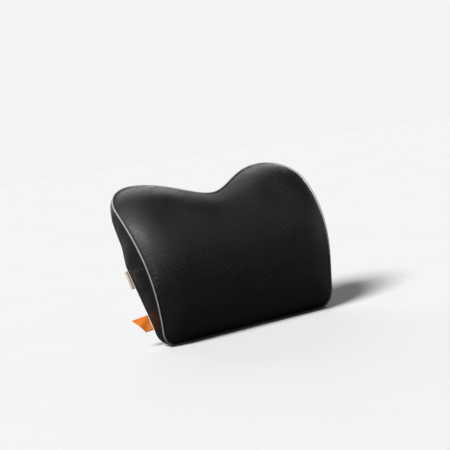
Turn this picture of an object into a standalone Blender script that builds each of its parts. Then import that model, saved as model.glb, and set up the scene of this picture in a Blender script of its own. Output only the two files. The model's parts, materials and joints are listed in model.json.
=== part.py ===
"""Lumbar support cushion: a D-section foam block with two lobes, in a sewn and piped cover with a zip.

Sizes are in metres. The cushion is drawn in its own frame: +X across it, +Y towards the backrest, +Z up its
flat back, with the origin on the back's foot line. One empty leans that frame back, as in a seat's corner, so
that the foot's flat face lies on the ground, and puts the middle of that face at the world's origin.
"""

import math

import bmesh
import bpy
from mathutils import Matrix, Vector
from mathutils.geometry import interpolate_bezier

# Driving dimensions: the cushion
WIDTH = 0.400
LOBE_HEIGHT = 0.314
DIP_HEIGHT = 0.257
LEAN = math.radians(25.0)
FOOT_WIDTH = 0.358
FOOT_CORNER_RADIUS = 0.028
SHOULDER_HEIGHT = 0.252
LOBE_X = 0.140
FOOT_DEPTH = 0.015
TOP_DEPTH = 0.012
SIDE_BULGE = 0.071
BULGE_DROP = 0.009
CROWN = 0.020
CROWN_REACH = 0.055
CROWN_POWER = 2.2

# Driving dimensions: the layers, from the outside in
GAP = 0.0003
LEATHERETTE = 0.0010
BACKING = 0.0030
LINER = 0.0006
PIPING_RADIUS = 0.0016
PIPING_SLEEVE = 0.0005

# Driving dimensions: the zip
ZIP_HEIGHT = 0.045
ZIP_LENGTH = 0.280
ZIP_OPENING = 0.012
TAPE_WIDTH = 0.012
TAPE = 0.0006
TOOTH_PITCH = 0.007
TOOTH_REACH = 0.0007
SPINE_WIDTH = 0.0016
TEETH_THICKNESS = 0.0014
SLIDER_LENGTH = 0.011
SLIDER_WALL = 0.0014
BRIDGE_LENGTH = 0.0072
BRIDGE_WIDTH = 0.0020
BRIDGE_WALL = 0.0009
PIN_RADIUS = 0.00055
PULL_LENGTH = 0.026
PULL_WIDTH = 0.0070
PULL_HOLE_RADIUS = 0.0018
STOP_LENGTH = 0.0035

# Driving dimensions: the retaining band and the labels
BAND_HEIGHT = 0.165
BAND_WIDTH = 0.038
BAND_THICKNESS = 0.0012
BAND_MARGIN = 0.006
LABEL_HEIGHT = 0.137
LABEL_LENGTH = 0.036
LABEL_OUT = 0.008
LABEL_CLOTH = 0.00045
LABEL_THICKNESS = 0.0012
TAB_HEIGHT = 0.050
TAB_LENGTH = 0.030
TAB_OUT_HIGH = 0.032
TAB_OUT_LOW = 0.016
TAB_THICKNESS = 0.0008

# Steps along half of the outline, from the middle of the foot to the middle of the dip
FOOT_STEPS = 4
CORNER_STEPS = 5
SIDE_STEPS = 6
LOBE_STEPS = 8
DIP_STEPS = 7
FRONT_RINGS = (0.30, 0.50, 0.66, 0.80, 0.90, 0.96, 1.0)

# Worked out from the driving dimensions
HALF = WIDTH / 2
SPINE_HALF = HALF * 0.55
SPINE_HEIGHT = DIP_HEIGHT * 0.55
FOOT_FADE = FOOT_CORNER_RADIUS * 2.5
SEAM_INSET = PIPING_RADIUS / math.cos(LEAN)
RIM_INSET = SEAM_INSET + PIPING_RADIUS + GAP
FOOT_BACK = -(LEATHERETTE + GAP) / math.cos(LEAN)
FOOT_FRONT = -FOOT_DEPTH / math.cos(LEAN) + SEAM_INSET * math.sin(LEAN) + PIPING_RADIUS + 2 * GAP
TAPE_Y = -LEATHERETTE - GAP - TAPE / 2
TEETH_TOP = TEETH_THICKNESS - LEATHERETTE
SPINE_INNER = TOOTH_REACH + GAP
SPINE_OUTER = SPINE_INNER + SPINE_WIDTH
BACK_ROOM = LEATHERETTE + TAPE + TEETH_THICKNESS + 2 * GAP
LINER_DEPTH = LEATHERETTE + GAP + BACKING + GAP
LINER_SIDE = LEATHERETTE + 3 * GAP
LINER_TO_FOAM = LINER + 2 * GAP
SLIDER_TOP = TEETH_TOP + GAP + SLIDER_WALL
PIN_Y = SLIDER_TOP + PIN_RADIUS + GAP
SLIDER_REST_X = ZIP_LENGTH / 2 - SLIDER_LENGTH / 2

COLOURS = {
    "perforated_black": ((0.012, 0.013, 0.014, 1), 0.45, 0.0),
    "smooth_black": ((0.018, 0.019, 0.020, 1), 0.42, 0.0),
    "back_fabric": ((0.020, 0.021, 0.023, 1), 0.85, 0.0),
    "grey_backing": ((0.090, 0.092, 0.095, 1), 0.90, 0.0),
    "piping_grey": ((0.420, 0.425, 0.430, 1), 0.50, 0.0),
    "white_cord": ((0.700, 0.700, 0.680, 1), 0.80, 0.0),
    "knit_white": ((0.720, 0.720, 0.700, 1), 0.95, 0.0),
    "foam": ((0.780, 0.740, 0.600, 1), 0.95, 0.0),
    "zip_tape": ((0.022, 0.022, 0.024, 1), 0.90, 0.0),
    "zip_teeth": ((0.030, 0.030, 0.032, 1), 0.40, 0.0),
    "zip_metal": ((0.050, 0.050, 0.055, 1), 0.35, 0.8),
    "elastic": ((0.025, 0.025, 0.027, 1), 0.90, 0.0),
    "label_white": ((0.860, 0.830, 0.780, 1), 0.80, 0.0),
    "label_orange": ((0.900, 0.210, 0.020, 1), 0.75, 0.0),
}


def clear_scene():
    for old in list(bpy.data.objects):
        bpy.data.objects.remove(old, do_unlink=True)


def new_collection(name):
    made = bpy.data.collections.new(name)
    bpy.context.scene.collection.children.link(made)
    return made


def material(name):
    """A Principled BSDF with the slot's colour, roughness and metallic value."""
    if name in bpy.data.materials:
        return bpy.data.materials[name]
    colour, roughness, metallic = COLOURS[name]
    made = bpy.data.materials.new(name)
    made.use_nodes = True
    shader = made.node_tree.nodes["Principled BSDF"]
    shader.inputs["Base Color"].default_value = colour
    shader.inputs["Roughness"].default_value = roughness
    shader.inputs["Metallic"].default_value = metallic
    return made


def place(name, mesh, slot, collection, parent):
    """A named object of the cushion, in the frame of its parent."""
    mesh.materials.clear()
    mesh.materials.append(material(slot))
    made = bpy.data.objects.new(name, mesh)
    collection.objects.link(made)
    made.parent = parent
    return made


def solidify(target, thickness):
    """Gives an open surface its thickness, inwards from its outer face."""
    wall = target.modifiers.new("wall", "SOLIDIFY")
    wall.thickness = thickness
    wall.offset = -1.0
    return wall


def extruded(name, loops, thickness, frame):
    """A mesh of a flat outline in its plane's two coordinates, with half its thickness on each side."""
    curve = bpy.data.curves.new(name, "CURVE")
    curve.dimensions = "2D"
    curve.fill_mode = "BOTH"
    curve.extrude = thickness / 2
    for loop in loops:
        spline = curve.splines.new("POLY")
        spline.points.add(len(loop) - 1)
        for point, (u, v) in zip(spline.points, loop):
            point.co = (u, v, 0.0, 1.0)
        spline.use_cyclic_u = True
    guide = bpy.data.objects.new(name, curve)
    bpy.context.scene.collection.objects.link(guide)
    graph = bpy.context.evaluated_depsgraph_get()
    mesh = bpy.data.meshes.new_from_object(guide.evaluated_get(graph))
    bpy.data.objects.remove(guide, do_unlink=True)
    bpy.data.curves.remove(curve)
    work = bmesh.new()
    work.from_mesh(mesh)
    bmesh.ops.remove_doubles(work, verts=work.verts, dist=0.00001)
    bmesh.ops.transform(work, matrix=frame, verts=work.verts)
    bmesh.ops.recalc_face_normals(work, faces=work.faces)
    work.to_mesh(mesh)
    work.free()
    return mesh


def prism(name, loop, thickness, frame):
    """A closed mesh of one flat outline, drawn as a face and extruded by its thickness."""
    work = bmesh.new()
    low = [work.verts.new((u, v, -thickness / 2)) for u, v in loop]
    grown = bmesh.ops.extrude_face_region(work, geom=[work.faces.new(low)])
    high = [item for item in grown["geom"] if isinstance(item, bmesh.types.BMVert)]
    bmesh.ops.translate(work, verts=high, vec=(0.0, 0.0, thickness))
    bmesh.ops.transform(work, matrix=frame, verts=work.verts)
    bmesh.ops.recalc_face_normals(work, faces=work.faces)
    mesh = bpy.data.meshes.new(name)
    work.to_mesh(mesh)
    work.free()
    return mesh


def plane_frame(u, v, origin=(0.0, 0.0, 0.0)):
    """The matrix that takes a flat outline's two coordinates to the directions u and v."""
    u = Vector(u).normalized()
    v = Vector(v).normalized()
    matrix = Matrix((u, v, u.cross(v))).transposed().to_4x4()
    matrix.translation = Vector(origin)
    return matrix


def rectangle(u_low, u_high, v_low, v_high):
    return [(u_low, v_low), (u_high, v_low), (u_high, v_high), (u_low, v_high)]


def union(target, mesh, cutters):
    """Joins another closed mesh to the target with an exact Boolean."""
    joined = bpy.data.objects.new(target.name + "_join", mesh)
    cutters.objects.link(joined)
    joined.parent = target.parent
    joined.hide_render = True
    joined.display_type = "WIRE"
    step = target.modifiers.new("join", "BOOLEAN")
    step.operation = "UNION"
    step.solver = "EXACT"
    step.object = joined


# The outline of the back, and the D of the side


def half_outline():
    """Points from the middle of the foot, up the +X side and over the lobe, to the middle of the dip."""
    radius = FOOT_CORNER_RADIUS
    straight = FOOT_WIDTH / 2 - radius
    points = []
    for step in range(FOOT_STEPS):
        points.append((straight * step / FOOT_STEPS, 0.0))
    for step in range(CORNER_STEPS):
        turn = math.radians(90.0) * step / CORNER_STEPS
        points.append((straight + radius * math.sin(turn), radius * (1 - math.cos(turn))))
    rise = SHOULDER_HEIGHT - radius
    lobe_rise = LOBE_HEIGHT - SHOULDER_HEIGHT
    lobe_run = HALF - LOBE_X
    corner = Vector((FOOT_WIDTH / 2, radius))
    shoulder = Vector((HALF, SHOULDER_HEIGHT))
    crest = Vector((LOBE_X, LOBE_HEIGHT))
    dip = Vector((0.0, DIP_HEIGHT))
    off_corner = corner + Vector((0.003, rise * 0.23))
    below_shoulder = shoulder - Vector((0.0, rise * 0.29))
    above_shoulder = shoulder + Vector((0.0, lobe_rise * 0.56))
    outside_crest = crest + Vector((lobe_run * 0.56, 0.0))
    inside_crest = crest - Vector((LOBE_X * 0.44, 0.0))
    beside_dip = dip + Vector((LOBE_X * 0.26, 0.0))
    stretches = (
        (corner, off_corner, below_shoulder, shoulder, SIDE_STEPS),
        (shoulder, above_shoulder, outside_crest, crest, LOBE_STEPS),
        (crest, inside_crest, beside_dip, dip, DIP_STEPS),
    )
    for start, leave, arrive, end, steps in stretches:
        run = interpolate_bezier(start, leave, arrive, end, steps + 1)
        points.extend((point.x, point.y) for point in run[:-1])
    points.append((0.0, DIP_HEIGHT))
    return points


def full_outline():
    """The whole outline, anticlockwise from the middle of the foot, seen from the +Y side's far end."""
    half = half_outline()
    mirrored = [(-x, z) for x, z in reversed(half[1:-1])]
    return [Vector(point) for point in half + mirrored]


OUTLINE = full_outline()
COUNT = len(OUTLINE)


def inward(index):
    """The unit direction into the outline at one of its points."""
    along = (OUTLINE[(index + 1) % COUNT] - OUTLINE[index - 1]).normalized()
    return Vector((-along.y, along.x))


def inset_outline(distance):
    return [OUTLINE[i] + inward(i) * distance for i in range(COUNT)]


def depth_at(z):
    """How far the front seam lies in front of the flat back: thin at the foot and the top, deep between."""
    share = min(max(z / LOBE_HEIGHT, 0.0), 1.0)
    bulge = SIDE_BULGE + BULGE_DROP * (1 - 2 * share)
    return FOOT_DEPTH * (1 - share) + TOP_DEPTH * share + bulge * 4 * share * (1 - share)


def seam_stretch(index):
    """How much longer a clearance measured along Y is than one square to the slanting front seam."""
    before, after = OUTLINE[index - 1], OUTLINE[(index + 1) % COUNT]
    rise = depth_at(after.y) - depth_at(before.y)
    return math.hypot(1.0, rise / (after - before).length)


def settled(x, y, z):
    """A point in the cushion's frame, lowered near the foot so that the foot's face lies on the ground."""
    fade = max(0.0, 1.0 - z / FOOT_FADE) ** 2
    return Vector((x, y, z + y * math.tan(LEAN) * fade))


def width_at(z):
    """Half the outline's width at a height on its side."""
    for i in range(COUNT // 2):
        low, high = OUTLINE[i], OUTLINE[i + 1]
        if low.y <= z < high.y and low.x > SPINE_HALF:
            return low.x + (high.x - low.x) * (z - low.y) / (high.y - low.y)
    raise ValueError("no side of the outline at this height")


# Soft layers


def bridge_rings(work, rings, close_first, close_last):
    """Quads between rings of points, with both end rings closed by strips from foot side to top side."""
    made = [[work.verts.new(point) for point in ring] for ring in rings]
    for inner, outer in zip(made, made[1:]):
        for i in range(COUNT):
            j = (i + 1) % COUNT
            work.faces.new((inner[i], inner[j], outer[j], outer[i]))
    for ring, wanted in ((made[0], close_first), (made[-1], close_last)):
        if wanted:
            close_ring(work, ring)
    return made


def close_ring(work, ring):
    """Strips across a ring: point i on the foot side pairs with point COUNT / 2 - i on the top side."""
    top = COUNT // 2
    for side in (1, -1):
        for i in range(top // 2):
            corners = [side * i, side * (i + 1), side * (top - i - 1), side * (top - i)]
            unique = list(dict.fromkeys(k % COUNT for k in corners))
            work.faces.new([ring[k] for k in unique])


def front_rings():
    """The crowned outer face of the front panel, as rings from the middle out to the piping."""
    rim = inset_outline(RIM_INSET)
    rings = []
    for share in FRONT_RINGS:
        ring = []
        for edge in rim:
            spine = Vector((min(max(edge.x, -SPINE_HALF), SPINE_HALF), SPINE_HEIGHT))
            flat = spine.lerp(edge, share)
            reach = min((edge - flat).length / CROWN_REACH, 1.0)
            crown = CROWN * (1 - (1 - reach) ** CROWN_POWER)
            ring.append(settled(flat.x, -depth_at(flat.y) - LEATHERETTE / 2 - crown, flat.y))
        rings.append(ring)
    return rings


def lowered_front(distance):
    """The front's rings, moved in from the outer face by a distance along its normals."""
    work = bmesh.new()
    made = bridge_rings(work, front_rings(), True, False)
    bmesh.ops.recalc_face_normals(work, faces=work.faces)
    if sum(face.normal.y for face in work.faces) > 0:
        bmesh.ops.reverse_faces(work, faces=work.faces)
    work.normal_update()
    rings = [[vertex.co - vertex.normal * distance for vertex in ring] for ring in made]
    work.free()
    return rings


def mesh_from(name, work, facing):
    """The bmesh as a mesh, with its faces turned so that the one furthest along facing points that way."""
    bmesh.ops.recalc_face_normals(work, faces=work.faces)
    furthest = max(work.faces, key=lambda face: face.calc_center_median().dot(facing))
    if furthest.normal.dot(facing) < 0:
        bmesh.ops.reverse_faces(work, faces=work.faces)
    mesh = bpy.data.meshes.new(name)
    work.to_mesh(mesh)
    work.free()
    mesh.shade_smooth()
    mesh.set_sharp_from_angle(angle=math.radians(40.0))
    return mesh


def front_layer(name, distance):
    """An open crowned surface at a distance in from the front's outer face."""
    work = bmesh.new()
    bridge_rings(work, lowered_front(distance), True, False)
    return mesh_from(name, work, Vector((0.0, -1.0, 0.0)))


def block(name, front_in, side_in, back_in, closed_back):
    """The whole cushion's form, moved in from the cover's outer face by its own distance on each side."""
    rings = lowered_front(front_in)
    side = inset_outline(side_in)
    waist = []
    for edge, rim in zip(side, rings[-1]):
        room = -rim.y - back_in
        reach = back_in + max(room - 3 * PIPING_RADIUS, room * 0.5)
        waist.append(settled(edge.x, -reach, edge.y))
    rings.append(waist)
    rings.append([settled(edge.x, -back_in, edge.y) for edge in side])
    middle = []
    for edge in side:
        spine = Vector((min(max(edge.x, -SPINE_HALF), SPINE_HALF), SPINE_HEIGHT))
        flat = spine.lerp(edge, FRONT_RINGS[0])
        middle.append(Vector((flat.x, -back_in, flat.y)))
    rings.append(middle)
    work = bmesh.new()
    bridge_rings(work, rings, True, closed_back)
    return mesh_from(name, work, Vector((0.0, -1.0, 0.0)))


def foam_core(collection, tilt):
    distances = [outer + LINER_TO_FOAM for outer in (LINER_DEPTH, LINER_SIDE, BACK_ROOM)]
    mesh = block("foam_core", *distances, True)
    place("foam_core", mesh, "foam", collection, tilt)


def inner_liner(collection, tilt):
    """A knit sock round the foam, open behind in a slot that the foam goes in through."""
    mesh = block("inner_liner", LINER_DEPTH, LINER_SIDE, BACK_ROOM, False)
    solidify(place("inner_liner", mesh, "knit_white", collection, tilt), LINER)


def front_layers(collection, tilt):
    panel = place("front_panel", front_layer("front_panel", 0.0), "perforated_black", collection, tilt)
    solidify(panel, LEATHERETTE)
    mesh = front_layer("front_backing", LEATHERETTE + GAP)
    solidify(place("front_backing", mesh, "grey_backing", collection, tilt), BACKING)


def gusset_band(collection, tilt):
    """The side band, from one foot corner over the lobes to the other, deep at mid height."""
    work = bmesh.new()
    columns = []
    for i in range(FOOT_STEPS, COUNT - FOOT_STEPS + 1):
        edge = OUTLINE[i]
        front = -depth_at(edge.y) + (PIPING_RADIUS + 2 * GAP) * seam_stretch(i)
        pair = (settled(edge.x, -LEATHERETTE - GAP, edge.y), settled(edge.x, front, edge.y))
        columns.append([work.verts.new(point) for point in pair])
    for low, high in zip(columns, columns[1:]):
        work.faces.new((low[0], high[0], high[1], low[1]))
    mesh = mesh_from("gusset_band", work, Vector((1.0, 0.0, 0.0)))
    solidify(place("gusset_band", mesh, "smooth_black", collection, tilt), LEATHERETTE)


def gusset_base(collection, tilt):
    """The foot strip between the band's two ends. Its lower face lies in the ground plane."""
    reach = FOOT_WIDTH / 2 - FOOT_CORNER_RADIUS - GAP
    along_foot = Vector((0.0, math.cos(LEAN), math.sin(LEAN)))
    lift = Vector((0.0, -math.sin(LEAN), math.cos(LEAN))) * LEATHERETTE / 2
    loop = rectangle(-reach, reach, FOOT_FRONT, FOOT_BACK)
    mesh = extruded("gusset_base", [loop], LEATHERETTE, plane_frame((1, 0, 0), along_foot, lift))
    place("gusset_base", mesh, "smooth_black", collection, tilt)


# Piping


def seam_rings(section):
    """A cross-section swept round the front seam. Its points are (out of the seam, towards the front)."""
    centres = []
    for i in range(COUNT):
        edge = OUTLINE[i] + inward(i) * SEAM_INSET
        centres.append(settled(edge.x, -depth_at(OUTLINE[i].y), edge.y))
    rings = []
    for i in range(COUNT):
        along = (centres[(i + 1) % COUNT] - centres[i - 1]).normalized()
        out = -inward(i)
        out = Vector((out.x, 0.0, out.y))
        out = (out - along * out.dot(along)).normalized()
        front = along.cross(out)
        if front.y > 0:
            front.negate()
        rings.append([centres[i] + out * u + front * v for u, v in section])
    return rings


def sweep(name, section, closed):
    """A closed or open cross-section carried round the whole seam."""
    work = bmesh.new()
    rings = [[work.verts.new(point) for point in ring] for ring in seam_rings(section)]
    size = len(section)
    last = size if closed else size - 1
    for i in range(COUNT):
        here, beyond = rings[i], rings[(i + 1) % COUNT]
        for k in range(last):
            m = (k + 1) % size
            work.faces.new((here[k], here[m], beyond[m], beyond[k]))
    return mesh_from(name, work, Vector((1.0, 0.0, 0.0)))


def arc(radius, start, end, steps):
    turns = [math.radians(start + (end - start) * k / steps) for k in range(steps + 1)]
    return [(radius * math.cos(turn), radius * math.sin(turn)) for turn in turns]


def piping(collection, tilt):
    """A folded sleeve, open to the inside of the cushion, round a filler cord."""
    sleeve = sweep("piping_sleeve", arc(PIPING_RADIUS, -150.0, 150.0, 8), False)
    solidify(place("piping_sleeve", sleeve, "piping_grey", collection, tilt), PIPING_SLEEVE)
    cord_radius = PIPING_RADIUS - PIPING_SLEEVE - GAP
    cord = sweep("piping_cord", arc(cord_radius, 0.0, 360.0, 6)[:-1], True)
    place("piping_cord", cord, "white_cord", collection, tilt)


# Back


def back_panel(collection, tilt, name, upper):
    """One of the two back panels. Its zip edge steps back along the zip, to show the teeth."""
    side = 1 if upper else -1
    seam = ZIP_HEIGHT + side * GAP / 2
    notch = ZIP_HEIGHT + side * ZIP_OPENING / 2
    notch_end = ZIP_LENGTH / 2 + 2 * STOP_LENGTH
    outer = width_at(seam)
    edge = [
        (outer, seam), (notch_end, seam), (notch_end, notch),
        (-notch_end, notch), (-notch_end, seam), (-outer, seam),
    ]
    if upper:
        rim = [(p.x, p.y) for p in OUTLINE if p.y > seam]
        loop = list(reversed(edge)) + rim
    else:
        foot = OUTLINE[COUNT // 2 :] + OUTLINE[: COUNT // 2]
        rim = [(p.x, p.y) for p in foot if p.y < seam]
        loop = edge + rim
    frame = plane_frame((1, 0, 0), (0, 0, 1), (0, -LEATHERETTE / 2, 0))
    place(name, extruded(name, [loop], LEATHERETTE, frame), "back_fabric", collection, tilt)


def retaining_band(collection, tilt):
    """Elastic band across the back, sewn in near both side seams."""
    half = width_at(BAND_HEIGHT) - BAND_MARGIN
    low = BAND_HEIGHT - BAND_WIDTH / 2
    frame = plane_frame((1, 0, 0), (0, 0, 1), (0, GAP + BAND_THICKNESS / 2, 0))
    outline = rectangle(-half, half, low, low + BAND_WIDTH)
    mesh = extruded("retaining_band", [outline], BAND_THICKNESS, frame)
    place("retaining_band", mesh, "elastic", collection, tilt)


# Zip


def zip_tape(collection, tilt, name, side):
    half = ZIP_LENGTH / 2 + 3 * STOP_LENGTH
    low = GAP + TOOTH_REACH
    frame = plane_frame((1, 0, 0), (0, 0, 1), (0, TAPE_Y, ZIP_HEIGHT))
    ends = sorted((side * low, side * (low + TAPE_WIDTH)))
    mesh = extruded(name, [rectangle(-half, half, *ends)], TAPE, frame)
    place(name, mesh, "zip_tape", collection, tilt)


def zip_teeth(collection, tilt, name, side):
    """One row: a spine with teeth that reach between the other row's teeth."""
    width = TOOTH_PITCH / 2 - GAP
    start = -ZIP_LENGTH / 2
    shift = TOOTH_PITCH * (0.25 if side > 0 else 0.75)
    loop = [(start, side * SPINE_OUTER), (start, side * SPINE_INNER)]
    for k in range(round(ZIP_LENGTH / TOOTH_PITCH)):
        left = start + TOOTH_PITCH * k + shift - width / 2
        root, tip = side * SPINE_INNER, -side * TOOTH_REACH
        loop += [(left, root), (left, tip), (left + width, tip), (left + width, root)]
    end = start + TOOTH_PITCH * round(ZIP_LENGTH / TOOTH_PITCH)
    loop += [(end, side * SPINE_INNER), (end, side * SPINE_OUTER)]
    frame = plane_frame((1, 0, 0), (0, 0, 1), (0, TEETH_TOP - TEETH_THICKNESS / 2, ZIP_HEIGHT))
    place(name, extruded(name, [loop], TEETH_THICKNESS, frame), "zip_teeth", collection, tilt)


def zip_stop(collection, tilt, name, x_low, z_low, z_high):
    """A small block at the end of the rows."""
    loop = rectangle(x_low, x_low + STOP_LENGTH, z_low, z_high)
    frame = plane_frame((1, 0, 0), (0, 0, 1), (0, TEETH_TOP - TEETH_THICKNESS / 2, ZIP_HEIGHT))
    place(name, extruded(name, [loop], TEETH_THICKNESS, frame), "zip_metal", collection, tilt)


def zip_slider(collection, cutters, carrier):
    """A channel over both rows of teeth, with a bridge on top that the pull hangs in."""
    inner = SPINE_OUTER + GAP
    outer = inner + SLIDER_WALL
    foot = -LEATHERETTE + GAP
    ceiling = TEETH_TOP + GAP
    channel = [
        (-outer, foot), (-inner, foot), (-inner, ceiling), (inner, ceiling),
        (inner, foot), (outer, foot), (outer, SLIDER_TOP), (-outer, SLIDER_TOP),
    ]
    body = prism("zip_slider", channel, SLIDER_LENGTH, plane_frame((0, 0, 1), (0, 1, 0)))
    slider = place("zip_slider", body, "zip_metal", collection, carrier)
    half = BRIDGE_LENGTH / 2
    leg = half - 2 * BRIDGE_WALL
    under = PIN_Y + PIN_RADIUS + GAP
    top = under + BRIDGE_WALL
    shoulder = under - BRIDGE_WALL / 2
    root = SLIDER_TOP - SLIDER_WALL / 4
    bridge = [
        (-half, root), (-leg, root), (-leg, under), (leg, under),
        (leg, root), (half, root), (half, shoulder), (leg, top), (-leg, top), (-half, shoulder),
    ]
    union(slider, prism("bridge", bridge, BRIDGE_WIDTH, plane_frame((1, 0, 0), (0, 1, 0))), cutters)


def zip_pull(collection, cutters, carrier):
    """A flat tab whose eye holds a round pin. The carrier is on the pin's axis."""
    arm_inner = BRIDGE_WIDTH / 2 + 2 * GAP
    arm_outer = arm_inner + SLIDER_WALL
    eye = math.hypot(BRIDGE_LENGTH / 2, PIN_RADIUS + GAP + BRIDGE_WALL) + 2 * GAP
    half = PULL_WIDTH / 2
    nose = PULL_LENGTH - half
    tab = [(0.0, arm_inner), (-eye, arm_inner), (-eye, -arm_inner), (0.0, -arm_inner), (0.0, -arm_outer)]
    tab += [(-eye, -arm_outer), (-eye - SLIDER_WALL, -half)]
    for step in range(9):
        turn = math.radians(180.0) * step / 8
        tab.append((-nose - half * math.sin(turn), -half * math.cos(turn)))
    tab += [(-eye - SLIDER_WALL, half), (-eye, arm_outer), (0.0, arm_outer)]
    hole = []
    for step in range(10):
        turn = math.radians(360.0) * step / 10
        hole.append((-nose + PULL_HOLE_RADIUS * math.cos(turn), PULL_HOLE_RADIUS * math.sin(turn)))
    mesh = extruded("zip_pull", [tab, hole], 2 * PIN_RADIUS, plane_frame((1, 0, 0), (0, 0, 1)))
    pull = place("zip_pull", mesh, "zip_metal", collection, carrier)
    work = bmesh.new()
    bmesh.ops.create_cone(
        work, cap_ends=True, segments=12, radius1=PIN_RADIUS, radius2=PIN_RADIUS, depth=2 * arm_outer
    )
    pin = bpy.data.meshes.new("pin")
    work.to_mesh(pin)
    work.free()
    union(pull, pin, cutters)


def zip_parts(collection, cutters, tilt):
    for name, side in (("upper", 1), ("lower", -1)):
        zip_tape(collection, tilt, "zip_tape_" + name, side)
        zip_teeth(collection, tilt, "zip_teeth_" + name, side)
        ends = sorted((side * GAP, side * SPINE_OUTER))
        zip_stop(collection, tilt, "zip_top_stop_" + name, ZIP_LENGTH / 2 + GAP, *ends)
    low = -ZIP_LENGTH / 2 - GAP - STOP_LENGTH
    zip_stop(collection, tilt, "zip_end_stop", low, -SPINE_OUTER, SPINE_OUTER)
    slide = empty("zip_slide_axis", (SLIDER_REST_X, 0.0, ZIP_HEIGHT), tilt, collection)
    zip_slider(collection, cutters, slide)
    pin = empty("zip_pull_axis", (0.0, PIN_Y, 0.0), slide, collection)
    zip_pull(collection, cutters, pin)


# Labels


def seam_place(z, length):
    """The middle of a straight line that touches the -X back seam from outside, and its directions."""
    low = Vector((-width_at(z - length / 2), 0.0, z - length / 2))
    high = Vector((-width_at(z + length / 2), 0.0, z + length / 2))
    along = (high - low).normalized()
    out = Vector((-along.z, 0.0, along.x))
    rise = 0.0
    for point in OUTLINE[COUNT // 2 :]:
        if low.z < point.y < high.z:
            rise = max(rise, (Vector((point.x, 0.0, point.y)) - low).dot(out))
    return (low + high) / 2 + out * rise, out, along


def side_label(collection, tilt):
    """A label folded once, with both ends in the seam."""
    here, out, along = seam_place(LABEL_HEIGHT, LABEL_LENGTH)
    thick, cloth = LABEL_THICKNESS, LABEL_CLOTH
    fold = [
        (GAP, 0.0), (LABEL_OUT, 0.0), (LABEL_OUT, thick), (GAP, thick),
        (GAP, thick - cloth), (LABEL_OUT - cloth, thick - cloth), (LABEL_OUT - cloth, cloth), (GAP, cloth),
    ]
    frame = plane_frame(out, (0, -1, 0), here)
    mesh = extruded("side_label", [fold], LABEL_LENGTH, frame)
    place("side_label", mesh, "label_white", collection, tilt)


def orange_tab(collection, tilt):
    """A single-layer tab near the foot, whose lower corner is shorter, as it folds under there."""
    here, out, along = seam_place(TAB_HEIGHT, TAB_LENGTH)
    half = TAB_LENGTH / 2
    loop = [(GAP, -half), (TAB_OUT_LOW, -half), (TAB_OUT_HIGH, half - TAB_THICKNESS), (GAP, half)]
    middle = here - Vector((0.0, TAB_THICKNESS, 0.0))
    mesh = extruded("orange_tab", [loop], TAB_THICKNESS, plane_frame(out, along, middle))
    place("orange_tab", mesh, "label_orange", collection, tilt)


def empty(name, location, parent, collection):
    made = bpy.data.objects.new(name, None)
    made.location = location
    made.parent = parent
    collection.objects.link(made)
    return made


def main():
    clear_scene()
    collection = new_collection("lumbar_cushion")
    cutters = new_collection("cutters")
    tilt = empty("cushion_tilt", (0.0, -(FOOT_FRONT + FOOT_BACK) / 2, 0.0), None, collection)
    tilt.rotation_euler.x = -LEAN
    foam_core(collection, tilt)
    inner_liner(collection, tilt)
    front_layers(collection, tilt)
    gusset_band(collection, tilt)
    gusset_base(collection, tilt)
    piping(collection, tilt)
    back_panel(collection, tilt, "back_panel_upper", True)
    back_panel(collection, tilt, "back_panel_lower", False)
    retaining_band(collection, tilt)
    zip_parts(collection, cutters, tilt)
    side_label(collection, tilt)
    orange_tab(collection, tilt)
    bpy.context.view_layer.update()


main()
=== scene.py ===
"""The looks of the lumbar support cushion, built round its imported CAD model.

A cloth simulation puffs the foam core between the cover's seams. The cover's pieces are drawn from the CAD's
own outline and depth, follow that puffed core, and replace the plain CAD solids. Shapes are worked out in the
cushion's frame (+X across, +Y towards the backrest, +Z up the flat back), and object_from moves them into the
world's frame.
"""

import json
import math

import bpy
import numpy as np
from mathutils import Matrix, Vector
from mathutils.geometry import delaunay_2d_cdt, interpolate_bezier
from mathutils.kdtree import KDTree


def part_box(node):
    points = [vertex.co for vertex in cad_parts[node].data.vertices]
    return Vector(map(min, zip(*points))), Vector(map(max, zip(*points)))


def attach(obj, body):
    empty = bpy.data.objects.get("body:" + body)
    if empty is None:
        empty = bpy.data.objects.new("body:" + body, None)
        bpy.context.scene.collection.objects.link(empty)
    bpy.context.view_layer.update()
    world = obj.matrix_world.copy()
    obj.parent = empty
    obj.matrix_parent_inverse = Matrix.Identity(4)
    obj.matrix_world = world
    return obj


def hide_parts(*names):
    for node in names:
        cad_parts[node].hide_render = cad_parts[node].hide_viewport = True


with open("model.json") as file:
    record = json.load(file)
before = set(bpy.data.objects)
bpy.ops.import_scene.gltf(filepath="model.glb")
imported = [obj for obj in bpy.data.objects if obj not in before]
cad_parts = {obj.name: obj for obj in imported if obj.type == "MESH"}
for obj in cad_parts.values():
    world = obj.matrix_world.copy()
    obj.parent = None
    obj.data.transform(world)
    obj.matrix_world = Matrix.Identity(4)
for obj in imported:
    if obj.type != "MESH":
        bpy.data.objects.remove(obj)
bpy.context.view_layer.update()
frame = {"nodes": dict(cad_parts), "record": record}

# The cushion's frame, from the mount on its back
BACK_FACE = next(mount for mount in frame["record"]["mounts"] if mount["name"] == "back_face")
LEAN = math.atan2(-BACK_FACE["axis"][2], BACK_FACE["axis"][1])
AXES = np.array(
    [[1.0, 0.0, 0.0], [0.0, math.cos(LEAN), -math.sin(LEAN)], [0.0, math.sin(LEAN), math.cos(LEAN)]]
)
ORIGIN = np.array([0.0, BACK_FACE["pos_m"][1] - BACK_FACE["pos_m"][2] * math.tan(LEAN), 0.0])

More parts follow.
